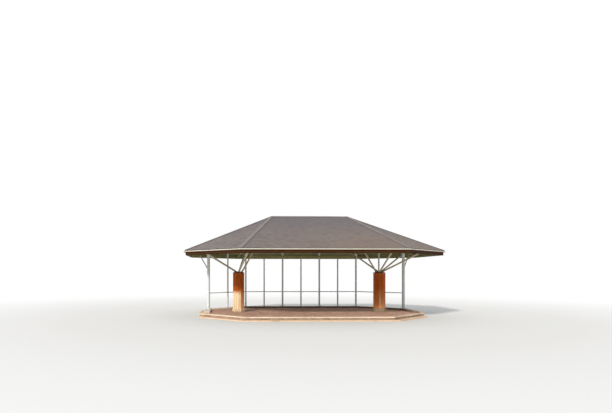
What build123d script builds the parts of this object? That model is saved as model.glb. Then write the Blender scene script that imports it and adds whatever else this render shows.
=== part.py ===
"""Park bandstand: an elongated octagonal hipped roof on two clad piers and six steel posts.

Lengths are in millimetres. The origin lies on the ground at the middle of the plan,
+X runs along the length, +Y points to the screened back and +Z points up.
"""

import math
import os

from build123d import *

# Platform
riser = 150
tread = 400
step_stone_thickness = 60
step_stone_width = 360
nosing_overhang = 25
stone_joint = 4
floor_half_length = 6680
floor_half_depth = 3900
floor_cut = 2640

# Kerb under the screen
kerb_height = 105
kerb_width = 340

# Posts, mullions and rails of the screen
bay = 2530
back_line = 3570
screen_cut = 2445
post_diameter = 190
post_plate_side = 260
post_plate_thickness = 12
mullion_width = 90
mullion_depth = 60
rail_height = 1100
rail_section = 55
back_beam_height = 3370
corner_beam_height = 3700
beam_depth = 200
beam_width = 120
side_strut_diameter = 64
side_strut_foot_height = 2550
side_strut_hip_share = 0.9

# Piers and their struts
pier_spread = 4350
pier_width = 680
pier_height = 2390
plinth_height = 200
plinth_proud = 45
pier_cap_thickness = 20
pier_cap_margin = 15
drum_diameter = 540
drum_height = 60
strut_diameter = 96
strut_foot_radius = 220
long_side_strut_share = 0.815
end_strut_share = 0.86

# Eaves and roof
fascia_height = 3385
fascia_thickness = 38
fascia_joint = 7
eave_half_length = 7520
eave_half_depth = 5400
eave_cut = 3130
eave_height = 3655
gutter_width = 115
gutter_depth = 50
gutter_wall = 4
gutter_clearance = 3
roof_over_gutter = 55
roof_thickness = 40
ridge_half_length = 2328
ridge_height = 5848
rafter_width = 104
rafter_depth = 180
ridge_beam_width = 80
ridge_beam_depth = 220
boss_diameter = 280
boss_depth = 420
cap_half_width = 110
cap_thickness = 28

floor_level = step_stone_thickness + riser
seat_level = floor_level + kerb_height
fascia_level = floor_level + fascia_height
eave_level = floor_level + eave_height
ridge_level = floor_level + ridge_height
pier_top = floor_level + pier_height
pier_cap_top = pier_top + pier_cap_thickness
drum_top = pier_cap_top + drum_height
post_corner_x = 1.5 * bay
side_post_x = post_corner_x + screen_cut
side_post_y = back_line - screen_cut
far = 2 * eave_half_length
front_and_front_corners = (6, 7, 0)


def octagon_points(half_length, half_depth, cut):
    """Corners of an elongated octagon, anticlockwise from the front right one."""
    straight_x = half_length - cut
    straight_y = half_depth - cut
    return [
        (straight_x, -half_depth),
        (half_length, -straight_y),
        (half_length, straight_y),
        (straight_x, half_depth),
        (-straight_x, half_depth),
        (-half_length, straight_y),
        (-half_length, -straight_y),
        (-straight_x, -half_depth),
    ]


def offset_octagon(half_length, half_depth, cut, distance):
    """Octagon parallel to the given one, moved outwards by the distance."""
    new_cut = cut + distance * (2 - math.sqrt(2))
    return octagon_points(half_length + distance, half_depth + distance, new_cut)


def plate(points, bottom, top):
    """Flat plate of the given outline between two levels."""
    outline = make_face(Polyline(*[(x, y, bottom) for x, y in points], close=True))
    return extrude(outline, amount=top - bottom, dir=(0, 0, 1))


def mitred_corners(outer, inner, index, joint):
    """Outline of one straight length of a ring, short of each corner by half a joint."""
    following = (index + 1) % len(outer)
    start = Vector(*outer[index], 0)
    end = Vector(*outer[following], 0)
    inner_start = Vector(*inner[index], 0)
    inner_end = Vector(*inner[following], 0)
    gap = (end - start).normalized() * (joint / 2)
    corners = (start + gap, end - gap, inner_end - gap, inner_start + gap)
    return [(corner.X, corner.Y) for corner in corners]


def ring(outer, inner, bottom, top, joint, sides=range(8)):
    """Straight mitred lengths along the chosen sides of a ring."""
    return [plate(mitred_corners(outer, inner, side, joint), bottom, top) for side in sides]


def round_bar(start, end, diameter):
    """Round bar between two points."""
    axis = end - start
    return extrude(Plane(origin=start, z_dir=axis) * Circle(diameter / 2), amount=axis.length)


def upright(x, y, diameter, bottom, top):
    """Standing cylinder between two levels."""
    return Pos(x, y, bottom) * extrude(Circle(diameter / 2), amount=top - bottom)


def block(x, y, width, depth, bottom, top, turn=0):
    """Standing rectangular block between two levels, turned about its own middle."""
    outline = Rectangle(width, depth)
    return Pos(x, y, bottom) * Rot(0, 0, turn) * extrude(outline, amount=top - bottom)


def save(name, *solids):
    """Write one named sub-part."""
    shape = solids[0] if len(solids) == 1 else Compound(children=list(solids))
    shape.label = name
    export_step(shape, f"parts/{name}.step")


def make_platform():
    """Raised core with edge stones and paving on top, and a low stone step along the front."""
    floor = (floor_half_length, floor_half_depth, floor_cut)
    core_top = floor_level - step_stone_thickness
    riser_face = offset_octagon(*floor, -nosing_overhang)
    lower_edge = offset_octagon(*floor, tread)
    upper_edge = octagon_points(*floor)
    paving_edge = offset_octagon(*floor, -step_stone_width)
    step_length = 2 * (floor_half_length - nosing_overhang) - stone_joint
    between_ends = block(0, 0, step_length, far, 0, step_stone_thickness)
    step = ring(
        lower_edge, riser_face, 0, step_stone_thickness, stone_joint, sides=front_and_front_corners
    )
    save("lower_step_stones", *[(stones & between_ends).solid() for stones in step])
    save("floor_slab", plate(riser_face, 0, core_top))
    save("upper_step_stones", *ring(upper_edge, paving_edge, core_top, floor_level, stone_joint))
    save("floor_paving", plate(paving_edge, core_top, floor_level))


def eave_octagon(inset):
    """Octagon parallel to the gutter's outer edge, moved inwards by the inset."""
    return offset_octagon(eave_half_length, eave_half_depth, eave_cut, -inset)


def slope_outlines():
    """Name of each roof slope with its corners on the upper surface, eave edge first."""
    eave = eave_octagon(gutter_width - roof_over_gutter)
    names = (
        "roof_corner_front_right",
        "roof_end_right",
        "roof_corner_back_right",
        "roof_back",
        "roof_corner_back_left",
        "roof_end_left",
        "roof_corner_front_left",
        "roof_front",
    )
    outlines = {}
    for side, name in enumerate(names):
        start = eave[side]
        end = eave[(side + 1) % len(eave)]
        tops = [math.copysign(ridge_half_length, x) for x in (end[0], start[0])]
        corners = [Vector(*start, eave_level), Vector(*end, eave_level)]
        corners += [Vector(x, 0, ridge_level) for x in dict.fromkeys(tops)]
        outlines[name] = corners
    return outlines


def on_slope(corners, drop, thickness):
    """Slab of upright thickness whose underside follows the outline lowered by the drop."""
    lowered = [corner - Vector(0, 0, drop) for corner in corners]
    return extrude(make_face(Polyline(*lowered, close=True)), amount=thickness, dir=(0, 0, 1))


def above_slope(corners):
    """Everything over the underside of one slope, carried on past its edges."""
    start, end, top = corners[:3]
    along = (end - start).normalized()
    rise = top - end
    rise = (rise - along * rise.dot(along)).normalized()
    signs = ((-1, -1), (1, -1), (1, 1), (-1, 1))
    reach = [start + along * (far * x) + rise * (far * y) for x, y in signs]
    return on_slope(reach, roof_thickness, far)


def below_roof(shape):
    """The part of a shape that lies under all eight slopes."""
    for corners in slope_outlines().values():
        shape = shape - above_slope(corners)
    return shape


def ridge_end(x):
    """Top of the roof at the ridge end on the same side as x, under the boards."""
    return Vector(math.copysign(ridge_half_length, x), 0, ridge_level - roof_thickness)


def hip_lines():
    """Underside of each hip, from the ridge end down to the corner of the eave."""
    lowered = Vector(0, 0, roof_thickness)
    corners = [outline[0] - lowered for outline in slope_outlines().values()]
    return [(ridge_end(corner.X), corner) for corner in corners]


def rafter(top, corner, width=rafter_width):
    """Board on edge under one hip, from the middle of the boss out past the fascia."""
    side = Vector(corner.Y - top.Y, top.X - corner.X, 0).normalized() * (width / 2)
    drop = Vector(0, 0, rafter_depth)
    outline = [top - side, corner - side, corner - side - drop, top - side - drop]
    return extrude(make_face(Polyline(*outline, close=True)), amount=width, dir=side)


def hip_point(corner, share):
    """Point on the middle line of the rafter that runs down to the given corner."""
    top, low = hip_lines()[corner]
    return top + (low - top) * share - Vector(0, 0, rafter_depth / 2)


def screen_octagon(distance):
    """Octagon through the posts, moved outwards by the distance."""
    return offset_octagon(side_post_x, back_line, screen_cut, distance)


def make_kerb():
    """Low kerb along both ends, both back diagonals and the back."""
    outer = screen_octagon(kerb_width / 2)
    inner = screen_octagon(-kerb_width / 2)
    save("kerb", *ring(outer, inner, floor_level, seat_level, stone_joint, sides=range(1, 6)))


def post_places():
    """Name and plan position of each steel post."""
    places = {"post_side_left": (-side_post_x, side_post_y)}
    for number in range(4):
        places[f"post_back_{number + 1}"] = (bay * (number - 1.5), back_line)
    places["post_side_right"] = (side_post_x, side_post_y)
    return places


def make_posts():
    """Round posts on foot plates, each up from the kerb to the slopes or a hip rafter."""
    foot_plates = []
    low = seat_level + post_plate_thickness
    rafters = [rafter(*line, width=2 * post_diameter) for line in hip_lines()]
    for name, (x, y) in post_places().items():
        foot_plates.append(block(x, y, post_plate_side, post_plate_side, seat_level, low))
        post = below_roof(upright(x, y, post_diameter, low, ridge_level)) - rafters
        save(name, post.solids().sort_by(Axis.Z)[0])
    save("post_foot_plates", *foot_plates)


def screen_lines():
    """Bays of the screen from left to right, each as the two post positions at its ends."""
    places = list(post_places().values())
    return list(zip(places[:-1], places[1:]))


def between_posts(line, depth, bottom, top):
    """Bar that runs from post to post along one bay, shaped to the round posts."""
    (x1, y1), (x2, y2) = line
    length = math.hypot(x2 - x1, y2 - y1)
    turn = math.degrees(math.atan2(y2 - y1, x2 - x1))
    bar = block((x1 + x2) / 2, (y1 + y2) / 2, length, depth, bottom, top, turn)
    return bar - [upright(x, y, post_diameter, bottom, top) for x, y in line]


def make_screen():
    """Beam over each bay, a mullion midway under it and a rail on both sides of the mullion."""
    beams = []
    mullions = []
    rails = {"rail_left": [], "rail_back": [], "rail_right": []}
    names = ["rail_left", "rail_back", "rail_back", "rail_back", "rail_right"]
    low = floor_level + rail_height - rail_section / 2
    for name, line in zip(names, screen_lines()):
        (x1, y1), (x2, y2) = line
        beam_height = back_beam_height if y1 == y2 else corner_beam_height
        beam_level = floor_level + beam_height
        turn = math.degrees(math.atan2(y2 - y1, x2 - x1))
        mullion = block(
            (x1 + x2) / 2, (y1 + y2) / 2, mullion_width, mullion_depth, seat_level, beam_level, turn
        )
        rail = between_posts(line, rail_section, low, low + rail_section)
        beams.append(between_posts(line, beam_width, beam_level, beam_level + beam_depth).solid())
        mullions.append(mullion)
        rails[name].extend((rail - mullion).solids())
    save("post_beams", *beams)
    save("mullions", *mullions)
    for name, lengths in rails.items():
        save(name, *lengths)


def make_side_struts():
    """Round brace from each side post out and up to the back hip rafter of its end."""
    struts = []
    for sign, corner in ((1, 2), (-1, 5)):
        foot = Vector(sign * side_post_x, side_post_y, floor_level + side_strut_foot_height)
        bar = round_bar(foot, hip_point(corner, side_strut_hip_share), side_strut_diameter)
        post = upright(sign * side_post_x, side_post_y, post_diameter, seat_level, ridge_level)
        struts.append((bar - post - rafter(*hip_lines()[corner])).solid())
    save("side_struts", *struts)


def make_piers():
    """Octagonal board-clad piers on proud plinths, each under a cap plate with a low drum."""
    half = pier_width / 2
    regular = (half, half, half * (2 - math.sqrt(2)))
    plinth_top = floor_level + plinth_height
    plinth = plate(offset_octagon(*regular, plinth_proud), floor_level, plinth_top)
    shaft = plate(octagon_points(*regular), plinth_top, pier_top)
    cap = plate(offset_octagon(*regular, pier_cap_margin), pier_top, pier_cap_top)
    cap = cap + upright(0, 0, drum_diameter, pier_cap_top, drum_top)
    for side, sign in (("left", -1), ("right", 1)):
        place = Pos(sign * pier_spread, 0, 0)
        save(f"pier_plinth_{side}", place * plinth)
        save(f"pier_{side}", place * shaft)
        save(f"pier_cap_{side}", place * cap)


def boss(x):
    """Turned block under one ridge end, which the rafters, ridge beam and strut run into."""
    middle = ridge_end(x)
    return below_roof(upright(middle.X, 0, boss_diameter, middle.Z - boss_depth, ridge_level)).solid()


def pier_strut(x, head, stop):
    """Round strut from a pier's drum to a head point, shaped to the drum and to the stop."""
    run = Vector(head.X - x, head.Y, 0).normalized()
    foot = Vector(x, 0, drum_top) + run * strut_foot_radius
    below = (foot - head).normalized() * drum_diameter
    bar = round_bar(foot + below, head, strut_diameter)
    drum = upright(x, 0, drum_diameter, pier_cap_top, drum_top)
    return (bar - block(x, 0, far, far, 0, pier_cap_top) - drum - stop).solid()


def make_pier_struts():
    """Five struts from each pier, one to the ridge end and four to the hip rafters."""
    for side, sign, corners in (("left", -1, range(4, 8)), ("right", 1, range(0, 4))):
        x = sign * pier_spread
        end_block = boss(x)
        middle = ridge_end(x) - Vector(0, 0, boss_depth / 2)
        struts = [pier_strut(x, middle, end_block)]
        for corner in corners:
            top, low = hip_lines()[corner]
            runs_to_end = abs(low.X) > abs(low.Y)
            head = hip_point(corner, end_strut_share if runs_to_end else long_side_strut_share)
            struts.append(pier_strut(x, head, rafter(top, low)))
        save(f"pier_struts_{side}", *struts)


def make_roof_frame():
    """Hip rafters, a ridge beam and the two turned blocks that join them."""
    bosses = [boss(-1), boss(1)]
    inside_fascia = plate(eave_octagon(gutter_width + fascia_thickness), 0, far)
    rafters = []
    for line in hip_lines():
        trimmed = below_roof(rafter(*line) - bosses) & inside_fascia
        rafters.append(trimmed.solid())
    top = ridge_level - roof_thickness
    beam = block(0, 0, 2 * ridge_half_length, ridge_beam_width, top - ridge_beam_depth, top)
    save("ridge_bosses", *bosses)
    save("hip_rafters", *rafters)
    save("ridge_beam", (below_roof(beam) - bosses).solid())


def make_roof():
    """Eight slopes that meet along the hips and the ridge."""
    for name, corners in slope_outlines().items():
        save(name, on_slope(corners, roof_thickness, roof_thickness))


def cap_end(point, along, inward, neighbour, joint):
    """Outer and inner point where a cap strip ends: mitred up on a hip, cut off along the eave."""
    angle = math.radians(along.get_angle(neighbour - point))
    if point.Z < ridge_level:
        edge = (neighbour - point).normalized()
        return point, point + edge * (cap_half_width / math.sin(angle))
    foot = point + along * (joint / 2 / math.sin(angle / 2))
    return foot, foot + along * (cap_half_width / math.tan(angle / 2)) + inward * cap_half_width


def cap_strip(corners, index, joint):
    """Half of a hip or ridge cap, lying along one edge of a slope."""
    start = corners[index]
    end = corners[(index + 1) % len(corners)]
    before = corners[index - 1]
    after = corners[(index + 2) % len(corners)]
    along = (end - start).normalized()
    inward = before - start
    inward = (inward - along * inward.dot(along)).normalized()
    first, first_in = cap_end(start, along, inward, before, joint)
    last, last_in = cap_end(end, along * -1, inward, after, joint)
    return on_slope((first, last, last_in, first_in), 0, cap_thickness)


def make_caps():
    """Folded caps over the ridge and down each hip."""
    slopes = slope_outlines()
    first_hip_edge, ridge_edge, last_hip_edge = range(1, len(slopes["roof_front"]))
    ridge = [cap_strip(slopes[name], ridge_edge, stone_joint) for name in ("roof_front", "roof_back")]
    save("ridge_cap", ridge[0] + ridge[1])
    outlines = list(slopes.values())
    hips = []
    for corner, outline in enumerate(outlines):
        one = cap_strip(outlines[corner - 1], first_hip_edge, stone_joint)
        other = cap_strip(outline, min(last_hip_edge, len(outline) - 1), stone_joint)
        hips.append(one + other)
    save("hip_caps", *hips)


def make_eaves():
    """Fascia boards that rise to the slopes and a gutter on their outer face."""
    fascia_face = eave_octagon(gutter_width)
    fascia_back = eave_octagon(gutter_width + fascia_thickness)
    tall = ring(fascia_face, fascia_back, fascia_level, eave_level + gutter_width, fascia_joint)
    slopes = slope_outlines().values()
    save("fascia", *[(board - above_slope(slope)).solid() for board, slope in zip(tall, slopes)])
    rim = eave_level - roof_thickness - gutter_clearance
    bottom = rim - gutter_depth
    outer = eave_octagon(0)
    front_wall = eave_octagon(gutter_wall)
    back_wall = eave_octagon(gutter_width - gutter_wall)
    floors = ring(outer, fascia_face, bottom, bottom + gutter_wall, stone_joint)
    fronts = ring(outer, front_wall, bottom, rim, stone_joint)
    backs = ring(back_wall, fascia_face, bottom, rim, stone_joint)
    save("gutter", *[floors[side] + fronts[side] + backs[side] for side in range(len(outer))])


os.makedirs("parts", exist_ok=True)
make_platform()
make_kerb()
make_posts()
make_screen()
make_side_struts()
make_piers()
make_pier_struts()
make_roof_frame()
make_eaves()
make_roof()
make_caps()
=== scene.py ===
import math
import random

import bmesh
import bpy
from mathutils import Matrix, Vector


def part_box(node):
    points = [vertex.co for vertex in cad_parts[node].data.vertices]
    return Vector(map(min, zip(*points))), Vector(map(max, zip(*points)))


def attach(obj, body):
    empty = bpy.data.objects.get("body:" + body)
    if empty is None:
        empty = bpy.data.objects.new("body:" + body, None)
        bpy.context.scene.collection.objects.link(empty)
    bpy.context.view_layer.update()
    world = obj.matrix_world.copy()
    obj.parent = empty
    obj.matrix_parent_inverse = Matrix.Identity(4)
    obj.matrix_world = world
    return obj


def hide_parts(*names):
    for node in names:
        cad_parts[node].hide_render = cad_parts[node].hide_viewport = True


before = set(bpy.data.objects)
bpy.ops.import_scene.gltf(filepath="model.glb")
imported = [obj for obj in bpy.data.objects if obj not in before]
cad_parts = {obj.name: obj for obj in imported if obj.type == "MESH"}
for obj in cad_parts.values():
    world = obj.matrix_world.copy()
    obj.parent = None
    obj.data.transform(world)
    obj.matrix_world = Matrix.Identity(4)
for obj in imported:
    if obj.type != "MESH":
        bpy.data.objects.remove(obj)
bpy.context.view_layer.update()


# Camera, light and floor.
# The camera stands 31 m in front of the bandstand, a little left of its left pier, at eye height and
# level. The floor and the background are plain and pale, and a soft lamp shines from the front left.

photo_width = 612
photo_height = 413
focal_length_pixels = 504.3
middle_column = 241.85
horizon_row = 273.42
camera_place = (-4.922, -30.945, 2.558)
camera_yaw = -0.025
towards_lamp = (-0.62, -1.0, 0.64)
floor_radius = 120

camera = bpy.data.cameras.new("camera")
camera.sensor_width = 36
camera.lens = focal_length_pixels / photo_width * camera.sensor_width
camera.shift_x = (photo_width / 2 - middle_column) / photo_width
camera.shift_y = (horizon_row - photo_height / 2) / photo_width
camera.clip_end = 500
camera_stand = bpy.data.objects.new("camera", camera)
camera_stand.location = camera_place
camera_stand.rotation_euler = (math.radians(90), 0, camera_yaw)
bpy.context.scene.collection.objects.link(camera_stand)
bpy.context.scene.camera = camera_stand
bpy.context.scene.view_settings.view_transform = "Standard"

lamp = bpy.data.lights.new("soft lamp", "SUN")
lamp.energy = 2.8
lamp.angle = math.radians(6)
lamp.color = (1.0, 0.965, 0.92)
lamp_stand = bpy.data.objects.new("soft lamp", lamp)
lamp_stand.rotation_euler = Vector(towards_lamp).to_track_quat("Z", "Y").to_euler()
bpy.context.scene.collection.objects.link(lamp_stand)

world = bpy.data.worlds.new("studio")
world.use_nodes = True
bpy.context.scene.world = world
sky = world.node_tree
sky.nodes.clear()
room_light = sky.nodes.new("ShaderNodeBackground")
room_light.inputs["Color"].default_value = (0.93, 0.96, 1.0, 1.0)
room_light.inputs["Strength"].default_value = 0.62
white_card = sky.nodes.new("ShaderNodeBackground")
white_card.inputs["Color"].default_value = (1.0, 1.0, 1.0, 1.0)
white_card.inputs["Strength"].default_value = 1.0
light_path = sky.nodes.new("ShaderNodeLightPath")
seen = light_path.outputs["Is Camera Ray"]
for ray in ("Is Glossy Ray", "Is Transmission Ray"):
    either = sky.nodes.new("ShaderNodeMath")
    either.operation = "MAXIMUM"
    sky.links.new(seen, either.inputs[0])
    sky.links.new(light_path.outputs[ray], either.inputs[1])
    seen = either.outputs[0]
choice = sky.nodes.new("ShaderNodeMixShader")
sky.links.new(seen, choice.inputs[0])
sky.links.new(room_light.outputs[0], choice.inputs[1])
sky.links.new(white_card.outputs[0], choice.inputs[2])
sky_out = sky.nodes.new("ShaderNodeOutputWorld")
sky.links.new(choice.outputs[0], sky_out.inputs["Surface"])


def linear(red, green, blue):
    """Colour written in steps from 0 to 255, as a shader takes it."""
    shares = [step / 255 for step in (red, green, blue)]
    return [s / 12.92 if s <= 0.04045 else ((s + 0.055) / 1.055) ** 2.4 for s in shares] + [1.0]


class Finish:
    """A surface finish made of nodes that read the piece's own place."""

    def __init__(self, name, roughness=0.7, metallic=0.0):
        self.material = bpy.data.materials.new(name)
        self.material.use_nodes = True
        self.tree = self.material.node_tree
        self.shader = self.tree.nodes["Principled BSDF"]
        self.shader.inputs["Roughness"].default_value = roughness
        self.shader.inputs["Metallic"].default_value = metallic
        self.place = self.add("TexCoord").outputs["Object"]

    def add(self, kind, **settings):
        node = self.tree.nodes.new("ShaderNode" + kind)
        for name, value in settings.items():
            setattr(node, name, value)
        return node

    def feed(self, socket, value):
        if isinstance(value, bpy.types.NodeSocket):
            self.tree.links.new(value, socket)
        else:
            socket.default_value = value

    def noise(self, scale, detail=4.0, stretch=(1, 1, 1)):
        mapping = self.add("Mapping")
        self.feed(mapping.inputs["Vector"], self.place)
        self.feed(mapping.inputs["Scale"], stretch)
        noise = self.add("TexNoise")
        self.feed(noise.inputs["Vector"], mapping.outputs[0])
        self.feed(noise.inputs["Scale"], scale)
        self.feed(noise.inputs["Detail"], detail)
        return noise.outputs["Fac"]

    def spots(self, scale, size):
        cells = self.add("TexVoronoi")
        self.feed(cells.inputs["Vector"], self.place)
        self.feed(cells.inputs["Scale"], scale)
        return self.fade(cells.outputs["Distance"], size, size * 0.6)

    def tone(self, name="tone"):
        return self.add("Attribute", attribute_name=name).outputs["Fac"]

    def fade(self, value, start, end, low=0.0, high=1.0):
        spread = self.add("MapRange", clamp=True)
        numbers = (value, start, end, low, high)
        for name, number in zip(("Value", "From Min", "From Max", "To Min", "To Max"), numbers):
            self.feed(spread.inputs[name], number)
        return spread.outputs[0]

    def along(self, letter, start, end, low=0.0, high=1.0):
        parts = self.add("SeparateXYZ")
        self.feed(parts.inputs[0], self.place)
        return self.fade(parts.outputs[letter], start, end, low, high)

    def patches(self, noise, start, end, low=0.0, high=1.0):
        return self.fade(self.noise(*noise), start, end, low, high)

    def times(self, one, other):
        product = self.add("Math", operation="MULTIPLY")
        self.feed(product.inputs[0], one)
        self.feed(product.inputs[1], other)
        return product.outputs[0]

    def ramp(self, value, *stops):
        ramp = self.add("ValToRGB")
        marks = ramp.color_ramp.elements
        while len(marks) < len(stops):
            marks.new(0.5)
        for mark, (position, colour) in zip(marks, stops):
            mark.position = position
            mark.color = linear(*colour)
        self.feed(ramp.inputs[0], value)
        return ramp.outputs[0]

    def blend(self, share, under, over):
        mix = self.add("Mix", data_type="RGBA")
        self.feed(mix.inputs[0], share)
        for socket, colour in ((mix.inputs[6], under), (mix.inputs[7], over)):
            self.feed(socket, linear(*colour) if isinstance(colour, tuple) else colour)
        return mix.outputs[2]

    def shade(self, colour, value):
        light = self.add("HueSaturation")
        self.feed(light.inputs["Color"], colour)
        self.feed(light.inputs["Value"], value)
        return light.outputs[0]

    def vary(self, colour, low, high):
        return self.shade(colour, self.fade(self.tone(), 0, 1, low, high))

    def paint(self, colour):
        self.feed(self.shader.inputs["Base Color"], colour)

    def gloss(self, scale, detail, low, high):
        value = self.patches((scale, detail), 0.3, 0.7, low, high)
        self.feed(self.shader.inputs["Roughness"], value)

    def relief(self, height, depth, strength):
        bump = self.add("Bump")
        if isinstance(height, tuple):
            height = self.noise(*height)
        self.feed(bump.inputs["Height"], height)
        self.feed(bump.inputs["Distance"], depth)
        self.feed(bump.inputs["Strength"], strength)
        for link in self.shader.inputs["Normal"].links:
            self.feed(bump.inputs["Normal"], link.from_socket)
        self.feed(self.shader.inputs["Normal"], bump.outputs[0])


floor_shape = bmesh.new()
bmesh.ops.create_circle(floor_shape, cap_ends=True, segments=96, radius=floor_radius)
floor_mesh = bpy.data.meshes.new("studio floor")
floor_shape.to_mesh(floor_mesh)
floor_shape.free()
studio_floor = bpy.data.objects.new("studio_floor", floor_mesh)
studio_floor.location.z = -0.002
bpy.context.scene.collection.objects.link(studio_floor)
floor_paint = Finish("pale floor", roughness=0.9)
floor_paint.paint(linear(232, 231, 228))
distance = floor_paint.add("VectorMath", operation="LENGTH")
floor_paint.feed(distance.inputs[0], floor_paint.place)
white_glow = floor_paint.add("Emission")
floor_far = floor_paint.add("MixShader")
floor_paint.feed(floor_far.inputs[0], floor_paint.fade(distance.outputs["Value"], 14, 30))
floor_paint.feed(floor_far.inputs[1], floor_paint.shader.outputs[0])
floor_paint.feed(floor_far.inputs[2], white_glow.outputs[0])
floor_paint.feed(floor_paint.tree.nodes["Material Output"].inputs["Surface"], floor_far.outputs[0])
floor_mesh.materials.append(floor_paint.material)


# Riser of the raised floor.
# The floor stands on a core of concrete behind a ring of sawn stone blocks, 0.45 m long and laid in
# grey mortar. Splashed soil has darkened their feet.

riser_block_length = 0.45
riser_block_depth = 0.1
riser_recess = 0.006
mortar_joint = 0.005
chance = random.Random(4309)


def solids_of(node):
    """The node's solids, each a copy with its triangles merged back into flat faces."""
    whole = bmesh.new()
    whole.from_mesh(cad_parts[node].data)
    bmesh.ops.remove_doubles(whole, verts=whole.verts, dist=1e-5)
    bmesh.ops.dissolve_limit(whole, angle_limit=math.radians(0.4), verts=whole.verts, edges=whole.edges)
    waiting = set(whole.verts)
    solids = []
    while waiting:
        group = set()
        front = [min(waiting, key=lambda vert: vert.index)]
        while front:
            vert = front.pop()
            if vert not in group:
                group.add(vert)
                front.extend(edge.other_vert(vert) for edge in vert.link_edges)
        waiting -= group
        numbers = {vert.index for vert in group}
        solid = whole.copy()
        others = [vert for vert in solid.verts if vert.index not in numbers]
        bmesh.ops.delete(solid, geom=others, context="VERTS")
        bmesh.ops.recalc_face_normals(solid, faces=solid.faces)
        solids.append(solid)
    whole.free()
    return solids


def trim(part, point, outward):
    """Saws off what lies beyond a plane and closes the cuts."""
    everything = part.verts[:] + part.edges[:] + part.faces[:]
    bmesh.ops.bisect_plane(
        part, geom=everything, plane_co=point, plane_no=outward, clear_outer=True, dist=1e-6
    )
    bmesh.ops.holes_fill(part, edges=[edge for edge in part.edges if edge.is_boundary])


def ease(part, width, segments=1, steepest=25, edges=None):
    """Takes the sharpness off the edges where faces meet at an angle."""
    if edges is None:
        bmesh.ops.recalc_face_normals(part, faces=part.faces)
        limit = math.radians(steepest)
        edges = [edge for edge in part.edges if edge.is_manifold and edge.calc_face_angle() > limit]
    bmesh.ops.bevel(
        part, geom=edges, offset=width, offset_type="OFFSET", affect="EDGES",
        segments=segments, profile=0.5, clamp_overlap=True, material=-1,
    )


def run_of(strip):
    """Unit vector along a strip, and how far it reaches along it in both directions."""
    longest = max(strip.edges, key=lambda edge: round(edge.calc_length(), 5))
    along = (longest.verts[1].co - longest.verts[0].co).normalized()
    if along.x < 0 or (abs(along.x) < 1e-6 and along.y < 0):
        along.negate()
    reach = [vert.co.dot(along) for vert in strip.verts]
    return along, min(reach), max(reach)


def in_lengths(strip, length, joint):
    """The strip sawn into equal pieces near the length, with a joint between them."""
    along, low, high = run_of(strip)
    count = max(1, round((high - low) / length))
    step = (high - low) / count
    pieces = []
    for number in range(count):
        piece = strip.copy()
        if number > 0:
            trim(piece, along * (low + step * number + joint / 2), -along)
        if number < count - 1:
            trim(piece, along * (low + step * (number + 1) - joint / 2), along)
        pieces.append(piece)
    strip.free()
    return pieces


def edge_strips(solid, depth):
    """Strips of that depth along the upright faces of a convex plate, mitred at its corners."""
    sides = [face for face in solid.faces if abs(face.normal.z) < 0.01]
    strips = []
    for side in sides:
        strip = solid.copy()
        trim(strip, side.calc_center_median() - side.normal * depth, -side.normal)
        for edge in side.edges:
            other = [face for face in edge.link_faces if face is not side][0]
            if other in sides:
                seam = (other.normal - side.normal).normalized()
                trim(strip, edge.verts[0].co - seam * (mortar_joint / 2), seam)
        strips.append(strip)
    return strips


def core_of(solid, recess):
    """What lies behind the blocks of a convex plate, set back from its sides and top."""
    core = solid.copy()
    for face in solid.faces:
        if face.normal.z > -0.5:
            trim(core, face.calc_center_median() - face.normal * recess, face.normal)
    return core


def gathered(parts, tones=None):
    """All parts as one shape, each with a tone of its own from 0 to 1."""
    whole = bmesh.new()
    layer = whole.faces.layers.float.new("tone")
    for number, part in enumerate(parts):
        tone = tones[number] if tones else chance.random()
        own = part.faces.layers.float.get("tone") or part.faces.layers.float.new("tone")
        for face in part.faces:
            face[own] = tone
        bmesh.ops.recalc_face_normals(part, faces=part.faces)
        shape = bpy.data.meshes.new("part")
        part.to_mesh(shape)
        part.free()
        whole.from_mesh(shape)
        bpy.data.meshes.remove(shape)
    return whole


def add_piece(name, shape, finish, stands_for=(), smooth=None):
    """Makes the finished piece, which stays with the bandstand and takes the finish it is given."""
    mesh = bpy.data.meshes.new(name)
    shape.to_mesh(mesh)
    shape.free()
    if smooth:
        mesh.shade_smooth()
        mesh.set_sharp_from_angle(angle=math.radians(smooth))
    mesh.materials.append(finish.material)
    piece = bpy.data.objects.new(name, mesh)
    bpy.context.scene.collection.objects.link(piece)
    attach(piece, "root")
    if stands_for:
        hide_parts(*stands_for)


riser_stone = Finish("riser stone", roughness=0.85)
riser_body = riser_stone.ramp(riser_stone.noise(5, 6), (0.35, (142, 120, 104)), (0.65, (176, 152, 134)))
riser_body = riser_stone.vary(riser_body, 0.82, 1.1)
riser_soil = riser_stone.times(
    riser_stone.along("Z", 0.12, 0.02, 0.0, 0.8), riser_stone.patches((9, 5), 0.3, 0.7)
)
riser_stone.paint(riser_stone.blend(riser_soil, riser_body, (84, 70, 56)))
riser_stone.relief((220, 3), 0.003, 0.5)

slab = solids_of("floor_slab")[0]
blocks = []
for strip in edge_strips(slab, riser_block_depth):
    blocks += in_lengths(strip, riser_block_length, mortar_joint)
for block in blocks:
    ease(block, 0.004)
blocks.append(core_of(slab, riser_recess))
add_piece("riser_blocks", gathered(blocks), riser_stone, ["floor_slab"])


# Edge stones and step stones.
# Cream sawn sandstone, 60 mm thick, in slabs about 0.95 m long with a rounded front edge. The upper
# ones bed in mortar and stand 25 mm proud of the riser, the lower ones lie on the ground before it.

step_slab_length = 0.95

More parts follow.
